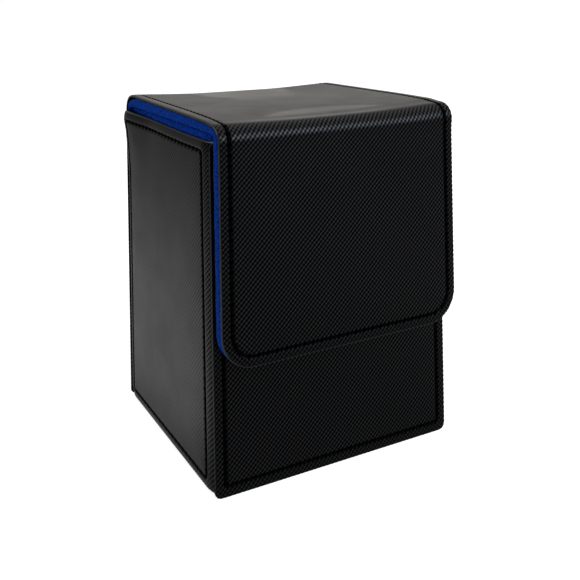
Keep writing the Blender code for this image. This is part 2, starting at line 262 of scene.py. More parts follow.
class Flat:
    """A flat face with u to the right and v up. rear is the sign of u towards the back, or 0."""

    def __init__(self, centre, u_axis, v_axis, rear=0):
        self.rear = rear
        self.sign = 1
        self.follow = 1.0
        self.centre = np.array(centre, float)
        self.u_axis = np.array(u_axis, float)
        self.v_axis = np.array(v_axis, float)
        self.normal = np.cross(self.u_axis, self.v_axis)
        self.hand = 1

    def frame_at(self, v):
        shape = v.shape + (3,)
        point = self.centre + v[..., None] * self.v_axis
        return point, np.broadcast_to(self.normal, shape), np.broadcast_to(self.v_axis, shape)

    def rise(self, u, v, follow=1.0):
        """How far the whole sheet stands out of its plane: a flare at its upper rear corner."""
        upper = rising(v, *FLARE_UPWARD) + TOP_FLARE * rising(v, *TOP_FLARE_UPWARD)
        return FLARE * abs(self.rear) * upper * rising(self.rear * u, *FLARE_REARWARD)

    def lift(self, u, v):
        """How far the sheet is drawn up along itself, towards its upper rear corner."""
        return abs(self.rear) * rising(v, *LIFT_UPWARD) * panel_lift(self.rear * u)


class Cover:
    """The strip that runs up the back, over the top and down the flap. v is the distance along it.

    The depth moves the strip inwards, and flip turns its outer side towards the box.
    """

    def __init__(self, depth=0.0, flip=False):
        self.depth = depth
        self.sign = -1 if flip else 1
        self.hand = -self.sign
        self.follow = LINING_FOLLOW if flip else 1.0
        self.u_axis = np.array((1.0, 0.0, 0.0))
        self.hinge_start = TOP_FACE - HINGE_RADIUS
        self.rise_start = self.hinge_start - DISH_BEFORE_HINGE
        self.hinge_end = self.hinge_start + HINGE_RADIUS * math.pi / 2
        self.fold_start = self.hinge_end + (BACK_FACE - HINGE_RADIUS) - (FLAP_FACE + FOLD_RADIUS)
        self.fold_end = self.fold_start + FOLD_RADIUS * math.pi / 2
        self.end = self.fold_end + (TOP_FACE - FOLD_RADIUS) - FLAP_BOTTOM

    def frame_at(self, v):
        y = np.full(v.shape, BACK_FACE)
        z = np.array(v, float)
        angle = np.zeros(v.shape)
        bend = (v > self.hinge_start) & (v <= self.hinge_end)
        angle[bend] = (v[bend] - self.hinge_start) / HINGE_RADIUS
        y[bend] = BACK_FACE - HINGE_RADIUS + HINGE_RADIUS * np.cos(angle[bend])
        z[bend] = self.hinge_start + HINGE_RADIUS * np.sin(angle[bend])
        top = (v > self.hinge_end) & (v <= self.fold_start)
        angle[top] = math.pi / 2
        y[top] = BACK_FACE - HINGE_RADIUS - (v[top] - self.hinge_end)
        z[top] = TOP_FACE
        fold = (v > self.fold_start) & (v <= self.fold_end)
        angle[fold] = math.pi / 2 + (v[fold] - self.fold_start) / FOLD_RADIUS
        y[fold] = FLAP_FACE + FOLD_RADIUS + FOLD_RADIUS * np.cos(angle[fold])
        z[fold] = TOP_FACE - FOLD_RADIUS + FOLD_RADIUS * np.sin(angle[fold])
        flap = v > self.fold_end
        angle[flap] = math.pi
        y[flap] = FLAP_FACE
        z[flap] = TOP_FACE - FOLD_RADIUS - (v[flap] - self.fold_end)
        zero = np.zeros(v.shape)
        normal = np.stack([zero, np.cos(angle), np.sin(angle)], -1)
        tangent = np.stack([zero, -np.sin(angle), np.cos(angle)], -1)
        depth = self.depth(v) if callable(self.depth) else np.full(v.shape, self.depth)
        point = np.stack([zero, y, z], -1) - depth[..., None] * normal
        return point, normal * self.sign, tangent

    def rise(self, u, v, follow=1.0):
        """How far the strip stands out of its path: on the dished lid, at the hinge and on the flap."""
        on_lid = rising(v, self.rise_start, DISH_REAR_RAMP)
        on_lid = on_lid * falling(v, self.fold_start + DISH_PAST_FOLD, DISH_FRONT_RAMP)
        rearness = np.clip((self.fold_start - v) / (self.fold_start - self.hinge_end), 0, 1)
        tuck = HINGE_TUCK * peak(v - (self.hinge_start + self.hinge_end) / 2, TUCK_WIDTHS)
        ahead = v - self.fold_start
        puff = LID_PUFF * peak(ahead + PUFF_BEFORE_FOLD, PUFF_WIDTHS)
        droop = FOLD_DROOP * peak(ahead, DROOP_WIDTHS) - puff
        droop = droop * (1 - SIDES_HOLD * np.abs(u / HALF_WIDTH) ** CURL_POWER)
        in_fold = peak(v - (self.fold_start + self.fold_end) / 2, CORNER_WIDTH)
        droop = droop - FOLD_CORNER * np.clip(u / HALF_WIDTH, 0, 1) ** 3 * in_fold
        return follow * (on_lid * lid_dish(u, rearness) - droop) - tuck + self.swell(v)

    def swell(self, v):
        """The flap's padding, which pushes its leather out."""
        return FLAP_SWELL * rising(v, self.fold_start, SWELL_RAMP)

    def lift(self, u, v):
        return np.zeros(np.shape(v))


class Edge:
    """The section of a turned edge: rounded over, down the side, rounded again and back under as a flange.

    along is the distance along the surface; inset, depth and turn of the normal belong to it.
    """

    def __init__(self, radius, thickness, flange, lower=None, steps=5):
        lower = lower or min(radius, thickness - radius)
        rows = []
        for k in range(steps + 1):
            turn = math.pi / 2 * k / steps
            rows.append((radius * (1 - math.sin(turn)), radius * (1 - math.cos(turn)), turn))
        for k in range(steps + 1):
            turn = math.pi / 2 * k / steps
            inset = lower * (1 - math.cos(turn))
            rows.append((inset, thickness - lower + lower * math.sin(turn), math.pi / 2 + turn))
        rows.append((flange, thickness, math.pi))
        kept = [rows[0]]
        for row in rows[1:]:
            if math.hypot(row[0] - kept[-1][0], row[1] - kept[-1][1]) > radius * 0.02:
                kept.append(row)
        along = [radius]
        for one, two in zip(kept, kept[1:]):
            along.append(along[-1] - math.hypot(two[0] - one[0], two[1] - one[1]))
        self.radius = radius
        self.thickness = thickness
        self.along = np.array(along)
        self.inset, self.depth, self.turn = np.array(kept).T

    def at(self, along):
        """The inset, depth and turn at a distance along the surface."""
        upwards = self.along[::-1]
        inset = np.where(along > self.radius, along, np.interp(along, upwards, self.inset[::-1]))
        depth = np.interp(along, upwards, self.depth[::-1])
        turn = np.interp(along, upwards, self.turn[::-1])
        return inset, depth, turn


def samples(low, high, edge, edged_low, edged_high, step):
    """Positions along one direction: even in the middle, and close together round an edge."""
    start = low + edge.radius if edged_low else low
    stop = high - edge.radius if edged_high else high
    first = math.ceil((start + 0.35 * step) / step)
    last = math.floor((stop - 0.35 * step) / step)
    middle = step * np.arange(first, last + 1)
    head = low + edge.along[::-1] if edged_low else np.array([low])
    tail = high - edge.along if edged_high else np.array([high])
    return np.concatenate([head, middle, tail])


class Seam:
    """A line of stitches at an even distance inside a sheet's edges.

    It crosses only the closed ends. extra moves it in from one side, the right one where extra is positive.
    """

    def __init__(self, half, low, high, radius, closed_low, closed_high, extra=0.0):
        far = 10 * (high - low)
        self.shift = -extra / 2
        self.half = half - SEAM_INSET - abs(extra) / 2
        self.low = low + SEAM_INSET if closed_low else low - far
        self.high = high - SEAM_INSET if closed_high else high + far
        self.radius = radius
        self.line = [
            [(u + self.shift, v) for u, v in run] for run in self.walk(low, high, closed_low, closed_high)
        ]

    def distance(self, u, v):
        """Signed distance from the seam, positive towards the sheet's edge."""
        middle = (self.low + self.high) / 2
        reach = (self.high - self.low) / 2
        x = np.abs(u - self.shift) - (self.half - self.radius)
        y = np.abs(v - middle) - (reach - self.radius)
        outside = np.hypot(np.maximum(x, 0), np.maximum(y, 0))
        return outside + np.minimum(np.maximum(x, y), 0) - self.radius

    def walk(self, low, high, closed_low, closed_high):
        """Lists of points along the seam, one list for each unbroken run."""
        h, r = self.half, self.radius
        turn = np.linspace(0, math.pi / 2, 9)
        right_low = [(h - r + r * math.sin(a), self.low + r - r * math.cos(a)) for a in turn]
        right_high = [(h - r + r * math.cos(a), self.high - r + r * math.sin(a)) for a in turn]
        left_high = [(-u, v) for u, v in reversed(right_high)]
        left_low = [(-u, v) for u, v in reversed(right_low)]
        if closed_low and closed_high:
            return [right_low + right_high + left_high + left_low + [right_low[0]]]
        if closed_high:
            return [[(h, low)] + right_high + left_high + [(-h, low)]]
        if closed_low:
            return [[(-h, high)] + left_low + right_low + [(h, high)]]
        return [[(h, low), (h, high)], [(-h, low), (-h, high)]]


def along_line(points):
    """A function that gives the point at a distance along a polyline, and the polyline's length."""
    points = np.array(points, float)
    steps = np.hypot(*np.diff(points, axis=0).T)
    marks = np.concatenate([[0], np.cumsum(steps)])

    def at(distance):
        return np.stack([np.interp(distance, marks, column) for column in points.T], -1)

    return at, marks[-1]


def weave(u, v, hand):
    """Height of the emboss, from -1 to 1."""
    ridge = np.cos(TURN * (v - hand * u) / WEAVE_REPEAT)
    bead = np.cos(TURN * (v + hand * u) / WEAVE_REPEAT)
    return RIDGE_SHARE * ridge + (1 - RIDGE_SHARE) * bead


def hole_marks(seam):
    """Where the needle went through: the ends of the stitches."""
    marks = []
    for run in seam.line:
        at, length = along_line(run)
        count = max(1, round(length / STITCH_PITCH))
        marks.append(at(np.linspace(0, length, count + 1)))
    return np.concatenate(marks)


def hole_share(u, v, distance, seam):
    """1 in the needle holes of a seam and less round them."""
    share = np.zeros(u.shape)
    near = np.abs(distance) < 3 * HOLE_WIDTH
    spots = np.stack([u[near], v[near]], -1)
    if len(spots):
        gaps = ((spots[:, None, :] - hole_marks(seam)[None, :, :]) ** 2).sum(-1).min(1)
        share[near] = np.exp(-gaps / HOLE_WIDTH**2)
    return share


def leather_relief(u, v, hand, seam, crown, drop, emboss, turn):
    """The height of the leather's form, the height of its emboss, and the marks that its shader reads.

    The form is the padding inside the seam, the seam's groove and holes, and the margin that rolls down.
    """
    distance = seam.distance(u, v)
    padding = crown * (1 - np.exp(np.minimum(distance, 0) / PADDING_REACH))
    margin = -at_place(drop, v) * np.clip(distance / SEAM_INSET, 0, 2) ** 2
    groove = peak(distance, GROOVE_WIDTH)
    holes = hole_share(u, v, distance, seam)
    form = padding + margin - GROOVE_DEPTH * groove - HOLE_DEPTH * holes
    printed = (1 - 0.9 * peak(distance, BARE_WIDTH)) * np.where(distance > 0, MARGIN_EMBOSS, 1.0)
    not_turned_under = np.clip(1.25 - 0.8 * np.maximum(turn - 1.2, 0), 0, 1)
    share = at_place(emboss, u, v) * printed * not_turned_under
    raised = weave(u, v, hand)
    # The seam mark is where the shader paints the shade of the groove and the needle holes.
    marks = {"relief": raised * share, "seam": np.clip(0.80 * groove + 1.1 * holes, 0, 1)}
    return form, WEAVE_HEIGHT * share * (raised - 1), marks


def at_place(value, *place):
    """A value that is the same everywhere, or a function of the place."""
    return value(*place) if callable(value) else value


def sheet_mesh(
    name, surface, half, low, high, edge, corner, edged, relief, step=STEP, thickness=None, lighter_share=None
):
    """A closed sheet on a surface, from -half to half across and from low to high along it.

    edged says whether the low and the high end have a turned edge. thickness is a function of v that
    replaces the edge's own thickness, and the last argument is a function of v that scales the rim's
    painted highlight.
    """
    us = samples(-half, half, edge, True, True, step)
    vs = samples(low, high, edge, edged[0], edged[1], step)
    u, v = np.meshgrid(us, vs)
    over_u = np.maximum(np.abs(u) - (half - corner), 0)
    over_v = np.zeros(v.shape)
    v_side = np.zeros(v.shape)
    if edged[0]:
        beyond = low + corner - v
        over_v = np.maximum(over_v, beyond)
        v_side = np.where(beyond > 0, -1, v_side)
    if edged[1]:
        beyond = v - (high - corner)
        over_v = np.maximum(over_v, beyond)
        v_side = np.where(beyond > 0, 1, v_side)
    ring = np.maximum(over_u, over_v)
    inset, depth, turn = edge.at(corner - ring)
    reach = np.maximum(np.hypot(over_u, over_v), 1e-12)
    share_u = np.sign(u) * over_u / reach
    share_v = v_side * over_v / reach
    base_u = np.where(over_u > 0, np.sign(u) * (half - corner), u)
    base_v = np.where(over_v > 0, np.where(v_side > 0, high - corner, low + corner), v)
    plan_u = base_u + (corner - inset) * share_u * (ring > 0)
    plan_v = base_v + (corner - inset) * share_v * (ring > 0)
    print_u = base_u + ring * share_u
    print_v = base_v + ring * share_v
    point, outward, tangent = surface.frame_at(plan_v)
    scale = thickness(plan_v) / edge.thickness if thickness else np.ones(v.shape)
    sideways = share_u[..., None] * surface.u_axis + share_v[..., None] * tangent
    normal = np.cos(turn)[..., None] * outward + np.sin(turn)[..., None] * sideways
    form, print_height, marks = relief(print_u, print_v, surface.hand, turn)
    outer = np.clip(1 - depth / edge.thickness, 0, 1)
    form = form * outer + surface.sign * surface.rise(plan_u, plan_v, 1 - (1 - surface.follow) * outer)
    place = point + plan_u[..., None] * surface.u_axis + (form - depth * scale)[..., None] * outward
    place = place + print_height[..., None] * normal + surface.lift(plan_u, plan_v)[..., None] * tangent
    # rim is where the turned edge gets a painted highlight, scaled along v by the optional function.
    rim = smooth(1 - np.abs(turn - HIGHLIGHT_TURN) / HIGHLIGHT_SPREAD)
    if lighter_share:
        rim = rim * lighter_share(plan_v)
    return grid_object(name, place, surface.hand, {"rim": rim, **marks})


def grid_object(name, place, hand, marks):
    """An object from a grid of points, closed on its underside by strips from side to side."""
    rows, columns = place.shape[:2]
    index = np.arange(rows * columns).reshape(rows, columns)
    quads = np.stack([index[:-1, :-1], index[:-1, 1:], index[1:, 1:], index[1:, :-1]], -1).reshape(-1, 4)
    back = np.stack([index[:-1, 0], index[1:, 0], index[1:, -1], index[:-1, -1]], -1)
    faces = np.concatenate([quads, back]).tolist()
    faces.append(index[0, ::-1].tolist())
    faces.append(index[-1].tolist())
    if hand < 0:
        faces = [face[::-1] for face in faces]
    mesh = bpy.data.meshes.new(name)
    mesh.from_pydata(place.reshape(-1, 3).tolist(), [], faces)
    for label, values in marks.items():
        attribute = mesh.attributes.new(label, "FLOAT", "POINT")
        attribute.data.foreach_set("value", np.asarray(values, np.float32).ravel())
    mesh.shade_smooth()
    return new_object(name, mesh)


# ---------------------------------------------------------------- stitches


def stitches(name, surface, seam, lift):
    """One closed, slightly arched piece of thread for each stitch of a seam."""
    points, faces = [], []
    for run in seam.line:
        at, length = along_line(run)
        count = max(1, round(length / STITCH_PITCH))
        pitch = length / count
        for k in range(count):
            marks = np.linspace(k * pitch + STITCH_GAP / 2, (k + 1) * pitch - STITCH_GAP / 2, STITCH_RINGS)
            add_stitch(points, faces, surface, at, marks, lift)
    mesh = bpy.data.meshes.new(name)
    mesh.from_pydata(points, [], faces)
    mesh.shade_smooth()
    return new_object(name, mesh)


def add_stitch(points, faces, surface, at, marks, lift):
    """Adds one stitch: a little slanted and arched, with thinner ends that dive into the leather."""
    rings, sides = STITCH_RINGS, STITCH_SIDES
    share = np.linspace(-1, 1, rings)
    spots = at(marks)
    ahead = at(marks + 1e-5) - at(marks - 1e-5)
    ahead /= np.maximum(np.hypot(ahead[:, 0], ahead[:, 1]), 1e-12)[:, None]
    aside = np.stack([-ahead[:, 1], ahead[:, 0]], -1)
    spots = spots + aside * (share * STITCH_SLANT)[:, None]
    u, v = spots.T
    point, outward, tangent = surface.frame_at(v)
    centre = point + u[:, None] * surface.u_axis
    height = lift + STITCH_ARCH * (1 - share**2) - STITCH_DIVE * share**8 + surface.rise(u, v)
    centre = centre + height[:, None] * outward + surface.lift(u, v)[:, None] * tangent
    across = aside[:, :1] * surface.u_axis + aside[:, 1:] * tangent
    girth = THREAD_RADIUS * (1 - 0.55 * np.abs(share) ** 5)
    first = len(points)
    for k in range(rings):
        for side in range(sides):
            angle = TURN * side / sides
            spoke = math.cos(angle) * across[k] + THREAD_FLATNESS * math.sin(angle) * outward[k]
            points.append((centre[k] + girth[k] * spoke).tolist())
    for k in range(rings - 1):
        for side in range(sides):
            a = first + k * sides + side
            b = first + k * sides + (side + 1) % sides
            faces.append((a, b, b + sides, a + sides) if surface.hand > 0 else (a, a + sides, b + sides, b))
    start = [first + side for side in range(sides)]
    stop = [first + (rings - 1) * sides + side for side in range(sides)]
    faces.append(start[::-1] if surface.hand > 0 else start)
    faces.append(stop if surface.hand > 0 else stop[::-1])


# ---------------------------------------------------------------- materials


class Graph:
    """The node tree of a material or of the world, while it is built."""

    def __init__(self, tree):
        self.nodes = tree.nodes
        self.link = tree.links.new

    def add(self, kind, **settings):
        """A new node. A setting is the value of an input socket or a property of the node."""
        node = self.nodes.new(kind)
        for key, value in settings.items():
            if key in node.inputs:
                node.inputs[key].default_value = value
            else:
                setattr(node, key, value)
        return node

    def math(self, operation, one, two):
        """A sum, product or the like of two outputs, or of an output and a number."""
        node = self.add("ShaderNodeMath", operation=operation)
        self.link(one, node.inputs[0])
        if isinstance(two, float):
            node.inputs[1].default_value = two
        else:
            self.link(two, node.inputs[1])
        return node.outputs[0]

    def mix(self, share, one, two):
        """A mix of two colours, or colour outputs, by a share."""
        node = self.add("ShaderNodeMix", data_type="RGBA")
        self.link(share, node.inputs["Factor"])
        for socket, value in ((node.inputs[6], one), (node.inputs[7], two)):
            if isinstance(value, tuple):
                socket.default_value = value
            else:
                self.link(value, socket)
        return node.outputs[2]

    def ramp(self, value, low, high, to_low=0.0, to_high=1.0):
        """A value mapped straight from one range to another, and held at its ends."""
        node = self.add("ShaderNodeMapRange")
        node.inputs["From Min"].default_value = low
        node.inputs["From Max"].default_value = high
        node.inputs["To Min"].default_value = to_low
        node.inputs["To Max"].default_value = to_high
        self.link(value, node.inputs["Value"])
        return node.outputs["Result"]

    def noise(self, place, scale, detail=4.0):
        node = self.add("ShaderNodeTexNoise", Scale=scale, Detail=detail)
        self.link(place, node.inputs["Vector"])
        return node.outputs["Fac"]

    def bump(self, shader, height, strength, distance):
        node = self.add("ShaderNodeBump", Strength=strength, Distance=distance)
        self.link(height, node.inputs["Height"])
        self.link(node.outputs["Normal"], shader.inputs["Normal"])

    def mark(self, label):
        """A value that the mesh carries at its points."""
        return self.add("ShaderNodeAttribute", attribute_name=label).outputs["Fac"]

    def place(self):
        """The place on the object, in metres."""
        return self.add("ShaderNodeTexCoord").outputs["Object"]


def new_material(name, **settings):
    """A material, its graph and its shader, with some of the shader's inputs set."""
    material = bpy.data.materials.new(name)
    material.use_nodes = True
    shader = material.node_tree.nodes["Principled BSDF"]
    for label, value in settings.items():
        shader.inputs[label.replace("_", " ")].default_value = value
    return material, Graph(material.node_tree), shader


def leather_material():
    """Near-black coated leather: polished on the beads and shiny at grazing angles. Between the beads it is
    painted in shade: near black and nearly dull.

    Its rims get a painted grey highlight in patches, and its seams are painted black as the shade of their
    groove and holes, and nearly dull.
    """
    material, graph, shader = new_material("black_leatherette")
    place = graph.place()
    rim = graph.mark("rim")
    seam = graph.mark("seam")
    # Painted shade in the pits between the beads: near-black colour there and almost no specular.
    bead = graph.ramp(graph.mark("relief"), -0.20, 0.80)
    # The rims' painted highlight also lifts them to the crests' colour and gloss.
    crest = graph.math("MAXIMUM", bead, graph.ramp(rim, 0.0, 1.0, 0.0, 0.9))
    body = graph.mix(crest, PIT_SHADE_BLACK, CREST_BLACK)
    patches = graph.ramp(graph.noise(place, 700.0), 0.35, 0.65, 0.3, 0.8)
    # Painted highlight: the rims turn lighter grey in noise patches.
    highlighted = graph.mix(graph.math("MULTIPLY", rim, patches), body, HIGHLIGHT_GREY)
    # Painted shade: the seams' groove and needle holes are coloured near black.
    graph.link(graph.mix(seam, highlighted, SEAM_SHADE_BLACK), shader.inputs["Base Color"])
    crest_gloss = graph.ramp(crest, 0.0, 1.0, 0.02, 1.0)
    crest_gloss = graph.math("MULTIPLY", graph.ramp(seam, 0.0, 0.30, 1.0, 0.05), crest_gloss)
    facing = graph.add("ShaderNodeLayerWeight", Blend=0.5).outputs["Facing"]
    grazing_gloss = graph.ramp(graph.math("POWER", facing, 5.0), 0.0, 0.5, 0.0, 0.92)
    grazing_gloss = graph.math("MULTIPLY", graph.ramp(seam, 0.0, 0.30, 1.0, 0.50), grazing_gloss)
    gloss = graph.math("MAXIMUM", crest_gloss, grazing_gloss)
    graph.link(gloss, shader.inputs["Specular IOR Level"])
    graph.link(graph.ramp(graph.noise(place, 90.0), 0.3, 0.7, 0.29, 0.36), shader.inputs["Roughness"])
    graph.bump(shader, graph.noise(place, 3600.0, 6.0), strength=0.25, distance=0.00003)
    return material


def lining_material():
    """Blue microfibre: a mottled nap with a blue sheen."""
    material, graph, shader = new_material(
        "blue_microfibre", Roughness=0.9, Specular_IOR_Level=0.08, Sheen_Weight=0.25, Sheen_Roughness=0.4,
        Sheen_Tint=SHEEN_BLUE,
    )
    place = graph.place()
    nap = graph.ramp(graph.noise(place, 1700.0), 0.40, 0.60)
    graph.link(graph.mix(nap, DEEP_BLUE, BRIGHT_BLUE), shader.inputs["Base Color"])
    graph.bump(shader, graph.noise(place, 2600.0, 8.0), strength=0.7, distance=0.00012)
    return material


def thread_material():
    """Black twisted thread."""
    material, graph, shader = new_material("black_thread", Roughness=0.7, Specular_IOR_Level=0.03)
    wave = graph.add("ShaderNodeTexWave", Scale=900.0, Distortion=1.5, bands_direction="DIAGONAL")
    graph.link(graph.place(), wave.inputs["Vector"])
    twist = wave.outputs["Fac"]
    graph.link(graph.mix(twist, THREAD_BLACK, THREAD_GREY), shader.inputs["Base Color"])
    graph.bump(shader, twist, strength=0.6, distance=0.00006)
    return material


def board_material():
    """Grey fibre board."""
    material, graph, shader = new_material("greyboard", Roughness=0.9)
    fibre = graph.noise(graph.place(), 1600.0, 8.0)
    colour = graph.mix(graph.ramp(fibre, 0.3, 0.7), (0.030, 0.028, 0.026, 1), (0.060, 0.056, 0.052, 1))
    graph.link(colour, shader.inputs["Base Color"])
    graph.bump(shader, fibre, strength=0.4, distance=0.00005)
    return material


def magnet_material():
    """Plated metal, a little worn."""
    material, graph, shader = new_material("plated_magnet", Metallic=1.0)
    lighter_share = graph.noise(graph.place(), 800.0, 5.0)
    graph.link(graph.ramp(lighter_share, 0.3, 0.7, 0.22, 0.42), shader.inputs["Roughness"])
    colour = graph.mix(lighter_share, (0.45, 0.45, 0.46, 1), (0.62, 0.62, 0.63, 1))
    graph.link(colour, shader.inputs["Base Color"])
    return material


def floor_material():
    """Pale paper that glows to the camera. To the box it is bright at the left and at the right behind."""
    material, graph, shader = new_material(
        "pale_floor", Roughness=0.8, Specular_IOR_Level=0.1, Emission_Color=(1, 1, 1, 1)
    )
    place = graph.place()
    tone = graph.ramp(graph.noise(place, 3.0), 0.3, 0.7)
    pale = graph.mix(tone, (0.80, 0.80, 0.80, 1), (0.82, 0.82, 0.82, 1))
    to_camera = graph.add("ShaderNodeLightPath").outputs["Is Camera Ray"]
    graph.link(graph.mix(to_camera, (0.06, 0.06, 0.06, 1), pale), shader.inputs["Base Color"])
    length = graph.add("ShaderNodeVectorMath", operation="LENGTH")
    graph.link(place, length.inputs[0])
    reach = length.outputs["Value"]
    split = graph.add("ShaderNodeSeparateXYZ")
    graph.link(place, split.inputs[0])
    left = graph.ramp(split.outputs["X"], -0.035, -0.060, 0.0, FLOOR_BOUNCE)
    left = graph.math("MULTIPLY", left, graph.ramp(split.outputs["Y"], -0.035, 0.010, 0.10, 1.0))
    left = graph.math("MULTIPLY", left, graph.ramp(reach, 0.06, 0.45, 1.0, 0.10))
    right = graph.ramp(split.outputs["X"], 0.045, 0.100, 0.0, FLOOR_RIGHT)
    right = graph.math("MULTIPLY", right, graph.ramp(split.outputs["Y"], -0.020, 0.120, 0.15, 1.0))
    to_box = graph.math("ADD", graph.math("ADD", left, right), FLOOR_DIM)
    glow = graph.add("ShaderNodeMix")
    graph.link(to_camera, glow.inputs["Factor"])
    graph.link(to_box, glow.inputs["A"])
    graph.link(graph.ramp(reach, 0.08, 0.40, *FLOOR_GLOW), glow.inputs["B"])
    graph.link(glow.outputs["Result"], shader.inputs["Emission Strength"])
    return material


LEATHER = leather_material()
LINING = lining_material()
THREAD = thread_material()
BOARD = board_material()
MAGNET = magnet_material()


def dress(item, material):
    """Gives a piece its material, in a slot with a plain name."""
    item.data.materials.clear()
    item.data.materials.append(material)
    return item


# ---------------------------------------------------------------- the box's panels


def leather_sheet(
    name, surface, half, low, high, edge, corner, edged, seam, crown, drop, emboss=1.0, lighter_share=None
):
    """A sheet of embossed leather, with a padded crown inside its seam and margins that drop."""

    def relief(u, v, hand, turn):
        return leather_relief(u, v, hand, seam, crown, drop, emboss, turn)

    item = sheet_mesh(name, surface, half, low, high, edge, corner, edged, relief, lighter_share=lighter_share)
    return dress(item, LEATHER)


def seam_lift(crown):
    """How high a stitch lies above the sheet: just under the leather on both sides of its groove."""
    return THREAD_RADIUS * 0.40 - GROOVE_DEPTH * 0.62 + 0.1 * crown


def sewn_panel(
    name, node, surface, half, height, edge, corner, crown, drop, extra=0.0, emboss=1.0, lighter_share=None
):
    """A stitched panel on a flat surface, with its seam; extra moves the seam in from one of its sides."""
    low, high = -height / 2, height / 2
    seam = Seam(half, low, high, SEAM_CORNER, True, True, extra)
    panel = leather_sheet(
        name, surface, half, low, high, edge, corner, (True, True), seam, crown, drop, emboss, lighter_share
    )
    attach(panel, "box")
    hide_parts(node)
    line = stitches(name + "_stitches", surface, seam, seam_lift(crown))
    dress(line, THREAD)
    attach(line, "box")
    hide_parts(node.replace("leather", "thread"))


def top_highlight(v):
    """The side panels' edges get the full painted rim highlight at the top, under the lid, and a fifth of
    it elsewhere.
    """
    return 0.2 + 0.8 * rising(v, PANEL_TOP / 2 - 0.002, 0.001)


def side_emboss(u, v):
    """The print is pressed flatter on the side panels' fields than on their front strips."""
    return 0.55 + 0.45 * rising(np.abs(u), 0.0320, 0.0010)


def side_panels():
    """The left and right panels. Their front strip is wider than their other margins."""
    depth = LEFT_HIGH.y - LEFT_LOW.y
    edge = Edge(0.0007, LEFT_HIGH.x - LEFT_LOW.x, 0.0016)
    for name, face, turn in (("left_panel", LEFT_LOW.x, -1), ("right_panel", RIGHT_FACE, 1)):
        surface = Flat((face, PANEL_MIDDLE, PANEL_TOP / 2), (0, turn, 0), (0, 0, 1), rear=turn)
        sewn_panel(
            name, name + "_leather", surface, depth / 2, PANEL_TOP, edge, 0.0011,
            crown=0.00035, drop=0.00050, extra=-turn * FRONT_STRIP, emboss=side_emboss, lighter_share=top_highlight,
        )


def front_panel():
    """The front panel, which reaches across the side panels' front edges."""
    surface = Flat((0, FRONT_FACE, PANEL_TOP / 2), (1, 0, 0), (0, 0, 1))
    edge = Edge(0.00025, FRONT_HIGH.y - FRONT_LOW.y, 0.0012, lower=0.00015)
    sewn_panel(
        "front_panel", "front_panel_leather", surface, HALF_WIDTH, PANEL_TOP, edge, 0.0022,
        crown=0.00030, drop=0.00018,
    )


def base_panel():
    """The plain leather that the box stands on."""
    depth = BASE_HIGH.y - BASE_LOW.y
    surface = Flat((0, (BASE_HIGH.y + BASE_LOW.y) / 2, 0), (1, 0, 0), (0, -1, 0))
    edge = Edge(0.0004, BASE_HIGH.z - BASE_LOW.z, 0.0010)
    seam_far_outside = Seam(4 * HALF_WIDTH, -depth, depth, SEAM_CORNER, True, True)
    panel = leather_sheet(
        "base_panel", surface, BASE_HIGH.x, -depth / 2, depth / 2, edge, 0.0012, (True, True),
        seam_far_outside, crown=0.0, drop=0.0,
    )
    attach(panel, "box")
    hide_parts("base_leather")


# ---------------------------------------------------------------- the cover

COVER_EDGE = Edge(0.00055, COVER_SHEET, 0.0012)


def cover_drop(v):
    """How far the cover's margins roll down: most on the lid."""
    path = Cover()
    on_lid = rising(v, path.hinge_start, 0.008) * falling(v, path.fold_start + 0.004, 0.010)
    return 0.00025 + 0.00008 * on_lid


def cover_emboss(u, v):
    """The print is stretched flatter on the lid's front and round the fold."""
    path = Cover()
    near_fold = rising(v, path.fold_start - 0.004, 0.006) * falling(v, path.fold_end + 0.003, 0.006)
    return 1 - 0.38 * near_fold


def cover_leather():
    """The cover in two lengths: up the back and round the hinge, then the lid, the fold and the flap."""
    path = Cover()
    split = path.hinge_end

    rear_seam = Seam(HALF_WIDTH, 0, split, SEAM_CORNER, False, False)
    rear = leather_sheet(
        "cover_rear", path, HALF_WIDTH, 0, split, COVER_EDGE, 0.0018, (True, False), rear_seam,
        COVER_CROWN, cover_drop, cover_emboss,
    )
    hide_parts("back_leather", "hinge_leather")
    rear_line = stitches("cover_rear_stitches", path, rear_seam, seam_lift(COVER_CROWN))
    dress(rear_line, THREAD)
    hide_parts("back_thread_left", "back_thread_right")
    for item in (rear, rear_line):
        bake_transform(item)

    front_seam = Seam(HALF_WIDTH, split, path.end, FLAP_CORNER - SEAM_INSET, False, True)
    front = leather_sheet(
        "cover_front", path, HALF_WIDTH, split, path.end, COVER_EDGE, FLAP_CORNER, (False, True),
        front_seam, COVER_CROWN, cover_drop, cover_emboss,
    )
    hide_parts("lid_leather", "fold_leather", "flap_leather")
    front_line = stitches("cover_front_stitches", path, front_seam, seam_lift(COVER_CROWN))
    dress(front_line, THREAD)
    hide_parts("lid_thread_left", "lid_thread_right", "flap_thread")
    for item in (front, front_line):
        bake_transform(item)


